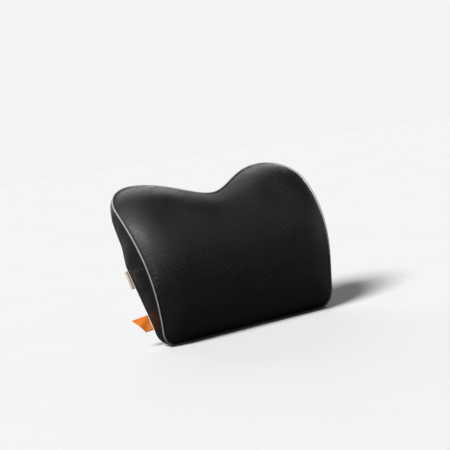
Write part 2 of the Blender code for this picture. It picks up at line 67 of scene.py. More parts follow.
# Sizes in metres that the CAD model is drawn from
HALF = 0.200
LOBE_HEIGHT = 0.314
DIP_HEIGHT = 0.257
FOOT_WIDTH = 0.358
FOOT_CORNER_RADIUS = 0.028
SHOULDER_HEIGHT = 0.252
LOBE_X = 0.140
FOOT_DEPTH = 0.015
TOP_DEPTH = 0.012
SIDE_BULGE = 0.071
BULGE_DROP = 0.009
CROWN = 0.020
CROWN_REACH = 0.055
CROWN_POWER = 2.2
GAP = 0.0003
LEATHERETTE = 0.0010
BACKING = 0.0030
LINER = 0.0006
PIPING_RADIUS = 0.0016
ZIP_HEIGHT = 0.045
ZIP_LENGTH = 0.280
ZIP_OPENING = 0.012
TEETH_TOP = 0.0004
TEETH_WIDTH = 0.0026
STOP_LENGTH = 0.0035
BAND_HEIGHT = 0.165
BAND_WIDTH = 0.038
BAND_THICKNESS = 0.0012
BAND_MARGIN = 0.006
LABEL_HEIGHT = 0.137
LABEL_LENGTH = 0.036
LABEL_OUT = 0.008
LABEL_CLOTH = 0.00045
LABEL_THICKNESS = 0.0012
TAB_HEIGHT = 0.050
TAB_LENGTH = 0.030
TAB_OUT_HIGH = 0.032
TAB_OUT_LOW = 0.016
TAB_THICKNESS = 0.0008

# Details that only the looks have
PIPING_PROUD = 0.0010
SHOULDER_TUCK = 0.0080
FOOT_FADE = FOOT_CORNER_RADIUS * 2.5
SEAM_INSET = PIPING_RADIUS / math.cos(LEAN) - PIPING_PROUD
RIM_INSET = SEAM_INSET + PIPING_RADIUS + GAP
FOOT_STRAIGHT = FOOT_WIDTH / 2 - FOOT_CORNER_RADIUS

HOLE_PITCH_X = 0.0080
HOLE_PITCH_Z = 0.003875
HOLE_RADIUS = 0.00075
HOLE_SIDES = 8
HOLE_FROM_RIM = 0.0024
SLOPE_STEP = 0.0008
HOLE_WALL = LEATHERETTE * 0.8
FIELD_STEP = 0.004
FIELD_MARGIN = 0.036
SEAM_ROLL = 0.0011
SEAM_ROLL_WIDTH = 0.0016
SIDE_BOW = 0.0016
SEAM_TURN = 0.0009
SEAM_TURN_WIDTH = 0.0016
END_TURN = 0.0008
EDGE_RINGS = (0.0008, 0.0018, 0.0035)
STITCH_LENGTH = 0.0028
STITCH_GAP = 0.0009
THREAD_RADIUS = 0.00028
COIL_PITCH = 0.0020
WIRE_RADIUS = 0.00025

# The stage
FLOOR_RADIUS = 9.0
FLOOR_HEIGHT = -0.0002

# The cloth simulation
VOXEL = 0.0055
PRESSURE = 3.0
SIM_FRAMES = 20
FRONT_CAP = 0.0045
BACK_CAP = 0.0018
PINNED_WITHIN = 0.009
PINNED_BELOW = 0.006
UNDER_COVER = 0.0012


# The outline and the surfaces


def stacked(*rows):
    return np.column_stack(rows)


def unit(vectors):
    return vectors / np.linalg.norm(vectors, axis=1)[:, None]


def bell(distance, reach):
    """1 where the distance is nothing, fading out over about twice the reach."""
    return np.exp(-((distance / reach) ** 2))


def lifted(spots, height):
    """Flat points of the back's plane in the cushion's frame, each at its height along Y."""
    return stacked(spots[:, 0], height, spots[:, 1])


def closed_loop(step_count):
    """The outline as evenly spaced points, anticlockwise from the middle of the foot."""
    radius = FOOT_CORNER_RADIUS
    half = [(0.0, 0.0), (FOOT_STRAIGHT, 0.0)]
    for step in range(1, 60):
        turn = math.radians(90.0) * step / 60
        half.append((FOOT_STRAIGHT + radius * math.sin(turn), radius * (1 - math.cos(turn))))
    rise = SHOULDER_HEIGHT - radius
    lobe_rise = LOBE_HEIGHT - SHOULDER_HEIGHT
    lobe_run = HALF - LOBE_X
    corner = Vector((FOOT_WIDTH / 2, radius))
    shoulder = Vector((HALF, SHOULDER_HEIGHT))
    crest = Vector((LOBE_X, LOBE_HEIGHT))
    dip = Vector((0.0, DIP_HEIGHT))
    stretches = (
        (corner, corner + Vector((0.003, rise * 0.23)), shoulder - Vector((0.0, rise * 0.29)), shoulder),
        (shoulder, shoulder + Vector((0.0, lobe_rise * 0.56)), crest + Vector((lobe_run * 0.56, 0.0)), crest),
        (crest, crest - Vector((LOBE_X * 0.44, 0.0)), dip + Vector((LOBE_X * 0.26, 0.0)), dip),
    )
    for start, leave, arrive, end in stretches:
        half.extend((p.x, p.y) for p in interpolate_bezier(start, leave, arrive, end, 300)[:-1])
    half.append((0.0, DIP_HEIGHT))
    points = np.array(half + [(-x, z) for x, z in reversed(half[:-1])])
    lengths = np.concatenate([[0.0], np.cumsum(np.linalg.norm(np.diff(points, axis=0), axis=1))])
    along = np.arange(step_count) / step_count * lengths[-1]
    loop = stacked(*(np.interp(along, lengths, points[:, k]) for k in (0, 1)))
    return loop, lengths[-1]


LOOP, PERIMETER = closed_loop(1600)


def inward_of(loop):
    """The unit direction into a closed anticlockwise loop, at each of its points."""
    tangent = unit(np.roll(loop, -1, axis=0) - np.roll(loop, 1, axis=0))
    return stacked(-tangent[:, 1], tangent[:, 0])


INWARD = inward_of(LOOP)


def edge_distance(points, loop, inward):
    """How far inside a loop each flat point lies, and the loop's nearest point to it."""
    distances, nearest = [], []
    for start in range(0, len(points), 3000):
        part = points[start : start + 3000]
        offsets = part[:, None, :] - loop[None, :, :]
        lengths = np.linalg.norm(offsets, axis=2)
        index = lengths.argmin(axis=1)
        rows = np.arange(len(part))
        inside = (offsets[rows, index] * inward[index]).sum(axis=1)
        far = lengths[rows, index]
        distances.append(np.where(far < 0.010, inside, np.sign(inside) * far))
        nearest.append(index)
    return np.concatenate(distances), np.concatenate(nearest)


def smoothstep(value, low, high):
    share = np.clip((value - low) / (high - low), 0.0, 1.0)
    return share * share * (3 - 2 * share)


def depth_at(z):
    """How far the front seam lies in front of the flat back."""
    share = z / LOBE_HEIGHT
    bulge = SIDE_BULGE + BULGE_DROP * (1 - 2 * share)
    return FOOT_DEPTH * (1 - share) + TOP_DEPTH * share + bulge * 4 * share * (1 - share)


def crown_at(distance):
    share = np.clip(distance / CROWN_REACH, -0.3, 1.0)
    return CROWN * (1 - (1 - share) ** CROWN_POWER)


def settled(points):
    """Points in the cushion's frame, lowered near the foot so that the foot's face lies on the ground."""
    points = np.array(points, float).reshape(-1, 3)
    fade = np.clip(1.0 - points[:, 2] / FOOT_FADE, 0.0, 1.0) ** 2
    points[:, 2] += points[:, 1] * math.tan(LEAN) * fade
    return points


def tucked(points):
    """Points with the back's shoulders drawn in, as the side band narrows towards them."""
    points = np.array(points, float).reshape(-1, 3)
    x, y, z = points.T
    tuck = SHOULDER_TUCK * smoothstep(z, 0.155, 0.210) * (1 - smoothstep(z, 0.265, 0.312))
    behind = np.clip(1 + y / np.maximum(depth_at(z), 0.005), 0.0, 1.2)
    points[:, 0] -= np.sign(x) * tuck * behind * smoothstep(np.abs(x), 0.09, 0.19)
    return points


def straight_to_world(points):
    return np.asarray(points, float).reshape(-1, 3) @ AXES + ORIGIN


def to_world(points):
    return straight_to_world(tucked(points))


def to_cushion(points):
    return (np.asarray(points, float).reshape(-1, 3) - ORIGIN) @ AXES.T


class Field:
    """Heights over a square grid in the back's plane, read as a smooth cubic spline."""

    def __init__(self):
        self.low = np.array([-HALF - FIELD_MARGIN, -FIELD_MARGIN])
        size = -2 * self.low[0], LOBE_HEIGHT + 2 * FIELD_MARGIN
        self.shape = tuple(int(length / FIELD_STEP) + 4 for length in size)
        across, up = np.meshgrid(*[np.arange(count) for count in self.shape], indexing="ij")
        self.points = stacked(across.ravel(), up.ravel()) * FIELD_STEP + self.low
        self.heights = np.zeros(self.shape)

    def set(self, heights):
        self.heights = np.asarray(heights, float).reshape(self.shape)

    def blurred(self, rounds):
        values = self.heights
        for _ in range(rounds):
            wide = np.pad(values, 1, mode="edge")
            values = (wide[:-2, 1:-1] + wide[2:, 1:-1] + wide[1:-1, :-2] + wide[1:-1, 2:] + 4 * values) / 8
        return values

    def at(self, x, z):
        places = (stacked(x, z) - self.low) / FIELD_STEP
        cells = np.clip(np.floor(places).astype(int), 1, np.array(self.shape) - 3)
        t = places - cells
        weights = np.stack([(1 - t) ** 3, 3 * t**3 - 6 * t**2 + 4, 1 + 3 * t + 3 * t**2 - 3 * t**3, t**3]) / 6
        total = np.zeros(len(places))
        for i in range(4):
            for k in range(4):
                height = self.heights[cells[:, 0] + i - 1, cells[:, 1] + k - 1]
                total += weights[i, :, 0] * weights[k, :, 1] * height
        return total


# Objects and materials


def object_from(name, points, faces, slot, node=None, angle=50.0):
    """A smooth mesh piece from points in the cushion's frame, which may replace a CAD node."""
    mesh = bpy.data.meshes.new(name)
    mesh.from_pydata([tuple(p) for p in to_world(points)], [], [tuple(map(int, f)) for f in faces])
    mesh.update()
    mesh.shade_smooth()
    mesh.set_sharp_from_angle(angle=math.radians(angle))
    piece = bpy.data.objects.new(name, mesh)
    bpy.context.scene.collection.objects.link(piece)
    piece.data.materials.append(MATERIALS[slot])
    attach(piece, "cushion")
    if node:
        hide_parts(node)
    return piece


def cloth_piece(name, points, faces, slot, node, thickness, angle=50.0):
    """A surface that replaces a CAD node, with its thickness inwards from its outer face."""
    piece = object_from(name, points, faces, slot, node, angle)
    wall = piece.modifiers.new("wall", "SOLIDIFY")
    wall.thickness = thickness
    wall.offset = -1.0
    return piece


def grid_faces(rows, columns, closed=False, joined=False):
    """Quads between rows of points. Each row may close on itself, and the last row may join the first."""
    faces = []
    for r in range(rows if joined else rows - 1):
        s = (r + 1) % rows
        for c in range(columns if closed else columns - 1):
            d = (c + 1) % columns
            faces.append((r * columns + c, r * columns + d, s * columns + d, s * columns + c))
    return faces


def tube(centres, first, second, radius, sides):
    """Rings of points round a line, from two directions across it."""
    rings = []
    for k in range(sides):
        turn = 2 * math.pi * k / sides
        rings.append(centres + (first * math.cos(turn) + second * math.sin(turn)) * radius)
    return np.stack(rings, axis=1).reshape(-1, 3)


def add(tree, kind, inputs=(), **settings):
    """A shader node with its settings. An input is given as (name or number, value or socket)."""
    made = tree.nodes.new("ShaderNode" + kind)
    for name, value in settings.items():
        setattr(made, name, value)
    for key, value in inputs:
        if isinstance(value, bpy.types.NodeSocket):
            tree.links.new(value, made.inputs[key])
        else:
            made.inputs[key].default_value = value
    return made


def maths(tree, operation, first, second=0.0):
    return add(tree, "Math", [(0, first), (1, second)], operation=operation).outputs[0]


def times(tree, first, second):
    return maths(tree, "MULTIPLY", first, second)


def plus(tree, first, second):
    return maths(tree, "ADD", first, second)


def remap(tree, value, from_low, from_high, to_low=0.0, to_high=1.0):
    """A value mapped smoothly from one range to another and kept inside it."""
    inputs = [("Value", value), ("From Min", from_low), ("From Max", from_high)]
    inputs += [("To Min", to_low), ("To Max", to_high)]
    return add(tree, "MapRange", inputs, interpolation_type="SMOOTHSTEP").outputs["Result"]


def mix(tree, share, first, second):
    """One colour changing to another. The numbers are the node's colour sockets."""
    return add(tree, "Mix", [(0, share), (6, first), (7, second)], data_type="RGBA").outputs[2]


def shade(colour, share):
    return (colour[0] * share, colour[1] * share, colour[2] * share, 1.0)


def dyed(tree, drift, colour, low, high, edge=0.3):
    """A colour that drifts between a darker and a lighter shade."""
    return mix(tree, remap(tree, drift, edge, 1 - edge), shade(colour, low), shade(colour, high))


def start_material(slot, specular, metallic=0.0, sheen=0.0):
    """A material with its shader, and the coordinates of the piece turned into the cushion's frame."""
    made = bpy.data.materials.new(slot + "_look")
    made.use_nodes = True
    tree = made.node_tree
    shader = tree.nodes["Principled BSDF"]
    shader.inputs["Specular IOR Level"].default_value = specular
    shader.inputs["Metallic"].default_value = metallic
    shader.inputs["Sheen Weight"].default_value = sheen
    shader.inputs["Sheen Roughness"].default_value = 0.5
    place = add(tree, "TexCoord").outputs["Object"]
    turned = add(tree, "VectorRotate", [("Vector", place), ("Angle", LEAN)], rotation_type="X_AXIS")
    MATERIALS[slot] = made
    return tree, shader, turned.outputs[0]


def finish_material(tree, shader, colour, roughness, height, distance):
    """Links a colour, a roughness and a bump, whose distance is in metres."""
    tree.links.new(colour, shader.inputs["Base Color"])
    tree.links.new(roughness, shader.inputs["Roughness"])
    bump = add(tree, "Bump", [("Strength", 1.0), ("Distance", distance), ("Height", height)])
    tree.links.new(bump.outputs["Normal"], shader.inputs["Normal"])


def noise(tree, place, size, detail=3.0):
    """Soft noise whose lumps are about as wide as the size, in metres."""
    inputs = [("Vector", place), ("Scale", 1.0 / size), ("Detail", detail), ("Roughness", 0.55)]
    return add(tree, "TexNoise", inputs).outputs["Fac"]


def leather(slot, colour, grain, specular, roughness, depth):
    """Leatherette: pebbles with creases between them, a finer skin on each, slow changes of shade, and
    painted shade in the creases.
    """
    tree, shader, place = start_material(slot, specular)
    drift = add(tree, "TexNoise", [("Vector", place), ("Scale", 0.6 / grain), ("Detail", 2.0)])
    inputs = [(0, drift.outputs["Color"]), ("Scale", grain * 0.9)]
    pulled = add(tree, "VectorMath", inputs, operation="SCALE").outputs[0]
    bent = add(tree, "VectorMath", [(0, place), (1, pulled)], operation="ADD").outputs[0]
    inputs = [("Vector", bent), ("Scale", 1.0 / grain)]
    cells = add(tree, "TexVoronoi", inputs, feature="DISTANCE_TO_EDGE").outputs["Distance"]
    pebbles = remap(tree, cells, 0.0, 0.16)
    skin = noise(tree, place, grain * 0.22, 2.0)
    height = plus(tree, pebbles, times(tree, skin, 0.45))
    slow = noise(tree, place, 0.035, 2.0)
    worn = dyed(tree, slow, colour, 0.82, 1.18, edge=0.35)
    # painted shade: the creases between the pebbles are darkened to 0.6 of the colour
    painted_crease_shade = mix(tree, pebbles, shade(colour, 0.6), worn)
    worn_rough = remap(tree, slow, 0.3, 0.7, roughness - 0.03, roughness + 0.04)
    rough = plus(tree, worn_rough, times(tree, maths(tree, "SUBTRACT", 1.0, pebbles), 0.10))
    finish_material(tree, shader, painted_crease_shade, rough, height, depth)


def woven(slot, colour, pitch_x, pitch_z, roughness, depth, sheen=0.15, spread=0.25):
    """Cloth: threads across and along, one over the other by turns, with a little fuzz, uneven dye and
    painted shade where the threads lie low.
    """
    tree, shader, place = start_material(slot, 0.25, sheen=sheen)
    split = add(tree, "SeparateXYZ", [("Vector", place)])
    wobble = times(tree, maths(tree, "SUBTRACT", noise(tree, place, pitch_x * 6), 0.5), 1.2)
    waves = []
    for axis, pitch in (("X", pitch_x), ("Z", pitch_z)):
        turns = times(tree, split.outputs[axis], math.pi / pitch)
        waves.append(plus(tree, turns, wobble))
    ribs = [maths(tree, "ABSOLUTE", maths(tree, "SINE", wave)) for wave in waves]
    over = times(tree, maths(tree, "SINE", waves[0]), maths(tree, "SINE", waves[1]))
    side = remap(tree, over, -0.25, 0.25)
    first = times(tree, ribs[0], side)
    second = times(tree, ribs[1], maths(tree, "SUBTRACT", 1.0, side))
    fuzz = noise(tree, place, pitch_x * 0.5, 4.0)
    height = plus(tree, plus(tree, first, second), times(tree, fuzz, 0.35))
    base = dyed(tree, noise(tree, place, 0.02), colour, 1 - spread, 1 + spread)
    # painted shade: where the threads lie low the colour darkens to 0.45 of its own
    shaded = mix(tree, remap(tree, height, 0.1, 0.9), shade(colour, 0.45), base)
    rough = remap(tree, fuzz, 0.3, 0.7, roughness - 0.06, roughness + 0.06)
    finish_material(tree, shader, shaded, rough, height, depth)


def spacer_mesh(slot, colour, pitch):
    """Air-mesh fabric: small round openings in staggered rows, with fine knit between them and painted shade
    in the openings.
    """
    tree, shader, place = start_material(slot, 0.2, sheen=0.25)
    split = add(tree, "SeparateXYZ", [("Vector", place)])
    across = maths(tree, "COSINE", times(tree, split.outputs["X"], math.pi / pitch))
    up = maths(tree, "COSINE", times(tree, split.outputs["Z"], math.pi / pitch))
    cells = maths(tree, "ABSOLUTE", times(tree, across, up))
    knit_x = maths(tree, "SINE", times(tree, split.outputs["X"], math.pi * 7 / pitch))
    knit_z = maths(tree, "SINE", times(tree, split.outputs["Z"], math.pi * 5 / pitch))
    knit = times(tree, knit_x, knit_z)
    fuzz = noise(tree, place, 0.0006, 4.0)
    wall = remap(tree, cells, 0.35, 0.80, 1.0, 0.0)
    height = plus(tree, wall, plus(tree, times(tree, knit, 0.12), times(tree, fuzz, 0.25)))
    yarn = dyed(tree, noise(tree, place, 0.03), colour, 0.88, 1.2)
    # painted shade: the openings are darkened to 0.30 of the yarn's colour
    shaded = mix(tree, wall, shade(colour, 0.30), yarn)
    rough = remap(tree, fuzz, 0.3, 0.7, 0.82, 0.95)
    finish_material(tree, shader, shaded, rough, height, 0.0006)


def porous(slot, colour, pore, depth):
    """Foam or felt: open pores in two sizes over a softly stained base, with painted shade in the larger
    pores.
    """
    tree, shader, place = start_material(slot, 0.15, sheen=0.1)
    coarse = add(tree, "TexVoronoi", [("Vector", place), ("Scale", 1.0 / pore)]).outputs["Distance"]
    fine = noise(tree, place, pore * 0.4, 4.0)
    height = plus(tree, coarse, times(tree, fine, 0.5))
    base = dyed(tree, noise(tree, place, 0.03), colour, 0.85, 1.1)
    # painted shade: the colour darkens to 0.55 of its own towards the middle of each larger pore
    shaded = mix(tree, remap(tree, coarse, 0.0, 0.5), shade(colour, 0.55), base)
    rough = remap(tree, fine, 0.3, 0.7, 0.87, 0.96)
    finish_material(tree, shader, shaded, rough, height, depth)


def lacquered(slot, colour, roughness, metallic):
    """Cast metal or moulded plastic under lacquer: orange peel, fine scuffs and rubbed high spots."""
    tree, shader, place = start_material(slot, 0.5, metallic=metallic)
    peel = noise(tree, place, 0.0007, 2.0)
    scuffs = noise(tree, place, 0.00025, 5.0)
    base = dyed(tree, noise(tree, place, 0.004), colour, 0.8, 1.5, edge=0.35)
    height = plus(tree, peel, times(tree, scuffs, 0.3))
    rough = remap(tree, scuffs, 0.35, 0.75, roughness - 0.06, roughness + 0.14)
    finish_material(tree, shader, base, rough, height, 0.00006)


def seam_dyed(slot, colour, seam_colour, seam, out, reach):
    """Woven satin whose colour changes from the seam outwards."""
    woven(slot, colour, 0.0006, 0.0004, 0.55, 0.00008, sheen=0.1, spread=0.05)
    tree = MATERIALS[slot].node_tree
    shader = tree.nodes["Principled BSDF"]
    place = add(tree, "TexCoord").outputs["Object"]
    away = add(tree, "VectorMath", [(0, place), (1, tuple(seam))], operation="SUBTRACT").outputs[0]
    inputs = [(0, away), (1, tuple(out))]
    far = add(tree, "VectorMath", inputs, operation="DOT_PRODUCT").outputs["Value"]
    uneven = times(tree, maths(tree, "SUBTRACT", noise(tree, place, 0.004), 0.5), reach * 0.3)
    share = remap(tree, plus(tree, far, uneven), reach * 0.18, reach * 0.62)
    cloth = shader.inputs["Base Color"].links[0].from_socket
    tree.links.new(mix(tree, share, (*seam_colour, 1.0), cloth), shader.inputs["Base Color"])


MATERIALS = {}


def make_materials():
    leather("perforated_black", (0.0028, 0.0036, 0.0034), 0.0010, 0.40, 0.37, 0.00010)
    leather("smooth_black", (0.0042, 0.0048, 0.0052), 0.0013, 0.20, 0.40, 0.00012)
    spacer_mesh("back_fabric", (0.046, 0.049, 0.052), 0.0034)
    porous("grey_backing", (0.50, 0.53, 0.52), 0.0009, 0.0003)
    woven("piping_grey", (0.36, 0.365, 0.37), 0.0007, 0.0007, 0.50, 0.00008, sheen=0.05, spread=0.08)
    woven("white_cord", (0.70, 0.70, 0.68), 0.0012, 0.0008, 0.85, 0.0002)
    woven("knit_white", (0.72, 0.72, 0.70), 0.0016, 0.0011, 0.90, 0.0003, spread=0.06)
    porous("foam", (0.78, 0.72, 0.56), 0.0016, 0.0006)
    woven("zip_tape", (0.022, 0.022, 0.024), 0.0010, 0.0006, 0.85, 0.0002)
    lacquered("zip_teeth", (0.055, 0.055, 0.058), 0.36, 0.0)
    lacquered("zip_metal", (0.20, 0.20, 0.21), 0.30, 0.85)
    woven("elastic", (0.030, 0.030, 0.033), 0.0010, 0.0022, 0.85, 0.0006)


# The puffed foam core


def smoothed_over(mesh, values, rounds):
    """Values on a mesh's vertices, averaged with their neighbours' a few times."""
    edges = np.zeros(len(mesh.edges) * 2, int)
    mesh.edges.foreach_get("vertices", edges)
    edges = edges.reshape(-1, 2)
    count = np.bincount(edges.ravel(), minlength=len(values))[:, None]
    for _ in range(rounds):
        total = np.zeros_like(values)
        np.add.at(total, edges[:, 0], values[edges[:, 1]])
        np.add.at(total, edges[:, 1], values[edges[:, 0]])
        values = 0.5 * values + 0.5 * total / np.maximum(count, 1)
    return values


def seam_curves():
    """Both seams of the side band, as points in the cushion's frame."""
    spots = LOOP[::8]
    front = lifted(spots, -depth_at(spots[:, 1]))
    return settled(np.concatenate([front, lifted(spots, np.zeros(len(spots)))]))


def tree_of(points):
    tree = KDTree(len(points))
    for index, point in enumerate(points):
        tree.insert(Vector(point), index)
    tree.balance()
    return tree


def vertex_array(mesh):
    co = np.zeros(len(mesh.vertices) * 3)
    mesh.vertices.foreach_get("co", co)
    return co.reshape(-1, 3)


def move_vertices(mesh, points):
    mesh.vertices.foreach_set("co", points.ravel())
    mesh.update()


def evaluated_mesh(piece):
    graph = bpy.context.evaluated_depsgraph_get()
    return bpy.data.meshes.new_from_object(piece.evaluated_get(graph))


def simulated(piece, pins):
    """Where pressure moves the vertices of a closed mesh whose pinned vertices stay."""
    group = piece.vertex_groups.new(name="seams")
    group.add([int(i) for i in pins], 1.0, "REPLACE")
    cloth = piece.modifiers.new("cloth", "CLOTH")
    cloth.settings.quality = 6
    cloth.settings.mass = 0.3
    cloth.settings.tension_stiffness = 18.0
    cloth.settings.compression_stiffness = 14.0
    cloth.settings.shear_stiffness = 6.0
    cloth.settings.bending_stiffness = 0.8
    cloth.settings.shrink_min = -0.012
    cloth.settings.vertex_group_mass = group.name
    cloth.settings.use_pressure = True
    cloth.settings.uniform_pressure_force = PRESSURE
    cloth.settings.effector_weights.gravity = 0.0
    cloth.point_cache.frame_start = 1
    cloth.point_cache.frame_end = SIM_FRAMES
    for number in range(1, SIM_FRAMES + 1):
        bpy.context.scene.frame_set(number)
    moved = vertex_array(evaluated_mesh(piece))
    piece.modifiers.remove(cloth)
    bpy.context.scene.frame_set(1)
    return moved


def puffed_core():
    """The foam core between the cover's seams, with how far each of its points moved from the CAD's shape."""
    core = bpy.data.objects.new("foam_core_moulded", frame["nodes"]["foam_core"].data.copy())
    bpy.context.scene.collection.objects.link(core)
    remesh = core.modifiers.new("voxels", "REMESH")
    remesh.mode = "VOXEL"
    remesh.voxel_size = VOXEL
    core.data = evaluated_mesh(core)
    core.modifiers.clear()
    start = vertex_array(core.data)
    place = to_cushion(start)
    seams = tree_of(seam_curves())
    reach = np.array([seams.find(Vector(p))[2] for p in place])
    moved = np.zeros_like(start)
    pins = np.nonzero((reach < PINNED_WITHIN) | (start[:, 2] < PINNED_BELOW))[0]
    moved = simulated(core, pins) - start
    moved = smoothed_over(core.data, moved, 3)
    length = np.maximum(np.linalg.norm(moved, axis=1), 1e-9)
    cap = np.where(place[:, 1] > -0.009, BACK_CAP, FRONT_CAP)
    soft = cap * np.tanh(length / cap)
    moved *= (soft / length * smoothstep(reach, PINNED_WITHIN * 0.7, PINNED_WITHIN * 2.5))[:, None]
    move_vertices(core.data, start + moved)
    core.data.shade_smooth()
    round_off = core.modifiers.new("rounded", "SUBSURF")
    round_off.levels = round_off.render_levels = 1
    core.data.materials.clear()
    core.data.materials.append(MATERIALS["foam"])
    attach(core, "cushion")
    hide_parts("foam_core")
    return core, place, moved @ AXES.T


def unsettled_height(points):
    """The height that each settled point had before it was lowered near the foot."""
    height = points[:, 2].copy()
    for _ in range(6):
        fade = np.clip(1.0 - height / FOOT_FADE, 0.0, 1.0) ** 2
        height = points[:, 2] - points[:, 1] * math.tan(LEAN) * fade
    return height


def seat_under_cover(core, field):
    """Moves the core's front in wherever it comes nearer to the cover's face than its layers are thick."""
    points = to_cushion(vertex_array(core.data))
    face = field.at(points[:, 0], unsettled_height(points))
    limit = face + LEATHERETTE + BACKING + LINER + 4 * GAP + UNDER_COVER
    points[:, 1] = np.maximum(points[:, 1], limit)
    move_vertices(core.data, straight_to_world(points))


def tuck_core(core):
    """Draws the core's shoulders in with the cover's."""
    move_vertices(core.data, to_world(to_cushion(vertex_array(core.data))))


class Puff:
    """Reads how far the puffed core moved near any point of the cover."""

    def __init__(self, place, moved):
        self.tree = tree_of(place)
        self.moved = moved

    def at(self, points):
        result = np.zeros((len(points), 3))
        for row, point in enumerate(points):
            near = self.tree.find_n(Vector(point), 10)
            weights = np.array([math.exp(-((n[2] / 0.007) ** 2)) for n in near]) + 1e-9
            result[row] = (self.moved[[n[1] for n in near]] * weights[:, None]).sum(axis=0) / weights.sum()
        return result


# The cover


def rim_loop(inset, count):
    """The outline moved inwards, at about evenly spaced points."""
    pick = (np.arange(count) * len(LOOP) / count).astype(int)
    return LOOP[pick] + INWARD[pick] * inset


def rim_distance(points):
    """How far inside the front panel's rim each flat point lies, and the outline's nearest point to it."""
    return edge_distance(points, LOOP + INWARD * RIM_INSET, INWARD)


def front_field(puff):
    """The front's outer face as a height field, from the CAD's depth and crown and the puffed core."""
    field = Field()
    distance, _ = rim_distance(field.points)
    crown = crown_at(distance)
    field.set(crown)
    soft = field.blurred(12).ravel()
    crown = crown + (soft - crown) * smoothstep(distance, 0.004, 0.030)
    height = -depth_at(field.points[:, 1]) - LEATHERETTE / 2 - crown
    inside = np.nonzero(distance > 0.002)[0]
    swell = np.zeros(len(height))
    swell[inside] = puff.at(settled(lifted(field.points[inside], height[inside])))[:, 1]
    field.set(swell)
    swell = field.blurred(3).ravel() * smoothstep(distance, 0.001, 0.014)
    field.set(height + swell)
    return field


def pucker(along, distance, reach, size):
    """A shallow, uneven gather of the cloth beside a sewn seam."""
    beat = np.sin(along * 2 * math.pi / 0.0125 + 1.7 * np.sin(along * 2 * math.pi / 0.071))
    return size * beat * bell(distance, reach)


def front_surface(field, points):
    """Points on the front's outer face, which turns in at its seam, in the cushion's frame."""
    distance, nearest = rim_distance(points)
    height = field.at(points[:, 0], points[:, 1])
    height += SEAM_ROLL * bell(np.maximum(distance, 0.0), SEAM_ROLL_WIDTH)
    height += pucker(nearest / len(LOOP) * PERIMETER, distance, 0.007, 0.00022)
    return lifted(points, height)


def hole_centres(field):
    """A staggered lattice of perforations, evenly spaced along the curved face from foot to top."""
    z = np.linspace(-0.002, LOBE_HEIGHT, 800)
    line = stacked(field.at(np.zeros(800), z), z)
    travelled = np.concatenate([[0.0], np.cumsum(np.linalg.norm(np.diff(line, axis=0), axis=1))])
    centres = []
    for row in range(int(travelled[-1] / HOLE_PITCH_Z)):
        height = np.interp(row * HOLE_PITCH_Z, travelled, z)
        shift = HOLE_PITCH_X / 2 * (row % 2)
        for column in range(-26, 27):
            centres.append((column * HOLE_PITCH_X + shift, height))
    centres = np.array(centres)
    distance, _ = rim_distance(centres)
    return centres[distance > HOLE_FROM_RIM]


def slope(field, centres, step_x, step_z):
    """The face's slope along a small step, in the back's plane."""
    x, z = centres.T
    rise = field.at(x + step_x, z + step_z) - field.at(x - step_x, z - step_z)
    return rise / 2 / max(step_x, step_z)


def hole_rings(field, centres):
    """Each perforation's rim in the back's plane, round on the curved face, and the face's normals."""
    slope_x = slope(field, centres, SLOPE_STEP, 0.0)
    slope_z = slope(field, centres, 0.0, SLOPE_STEP)
    normals = unit(stacked(slope_x, -np.ones(len(centres)), slope_z))
    first = unit(stacked(np.ones(len(centres)), slope_x, np.zeros(len(centres))))
    second = np.cross(normals, first)
    rings = []
    for side in range(HOLE_SIDES):
        turn = 2 * math.pi * (side + 0.5) / HOLE_SIDES
        offset = HOLE_RADIUS * (math.cos(turn) * first + math.sin(turn) * second)
        rings.append(centres + offset[:, [0, 2]])
    return np.stack(rings, axis=1), normals


def front_panel(field):
    """The perforated sheet: its two faces, with every hole cut right through, and the holes' walls."""
    centres = hole_centres(field)
    rings, normals = hole_rings(field, centres)
    holes = tree_of(stacked(centres, np.zeros(len(centres))))
    rim = rim_loop(RIM_INSET, 620)
    loose = []
    for inset in (0.0007, 0.0015, 0.0025, 0.0040):
        loose.extend(rim_loop(RIM_INSET + inset, 420))
    between = centres + np.array([HOLE_PITCH_X / 2, 0.0])
    away, _ = rim_distance(between)
    loose.extend(between[away > 0.0055])
    loose = [p for p in loose if holes.find(Vector((p[0], p[1], 0.0)))[2] > HOLE_RADIUS * 1.6]
    flat = np.concatenate([rings.reshape(-1, 2), rim, np.array(loose)])
    ring_count = len(centres) * HOLE_SIDES
    edges = []
    for start in range(0, ring_count, HOLE_SIDES):
        edges += [(start + k, start + (k + 1) % HOLE_SIDES) for k in range(HOLE_SIDES)]
    edges += [(ring_count + k, ring_count + (k + 1) % len(rim)) for k in range(len(rim))]
    spots, _, triangles, origins, _, _ = delaunay_2d_cdt([Vector(p) for p in flat], edges, [], 1, 1e-7)
    source = np.array([o[0] if o else -1 for o in origins])
    spots = np.array([tuple(p) for p in spots])
    owner = np.where((source >= 0) & (source < ring_count), source // HOLE_SIDES, -1)
    kept = []
    for a, b, c in triangles:
        if owner[a] < 0 or owner[a] != owner[b] or owner[a] != owner[c]:
            kept.append((a, b, c))
    points = front_surface(field, spots)
    at = np.full(len(flat), -1)
    at[source[source >= 0]] = np.nonzero(source >= 0)[0]
    skin = outward(points, kept)
    out = vertex_normals(points, skin)
    out[at[:ring_count]] = np.repeat(normals, HOLE_SIDES, axis=0)
    inner = points - out * HOLE_WALL
    base = len(points)
    lining = [(base + c, base + b, base + a) for a, b, c in skin]
    walls = [(at[a], at[b], base + at[b], base + at[a]) for a, b in edges[:ring_count]]
    walls += [(at[b], at[a], base + at[a], base + at[b]) for a, b in edges[ring_count:]]
    points = settled(np.concatenate([points, inner]))
    faces = skin + lining + walls
    return object_from("front_panel_perforated", points, faces, "perforated_black", "front_panel", angle=60.0)


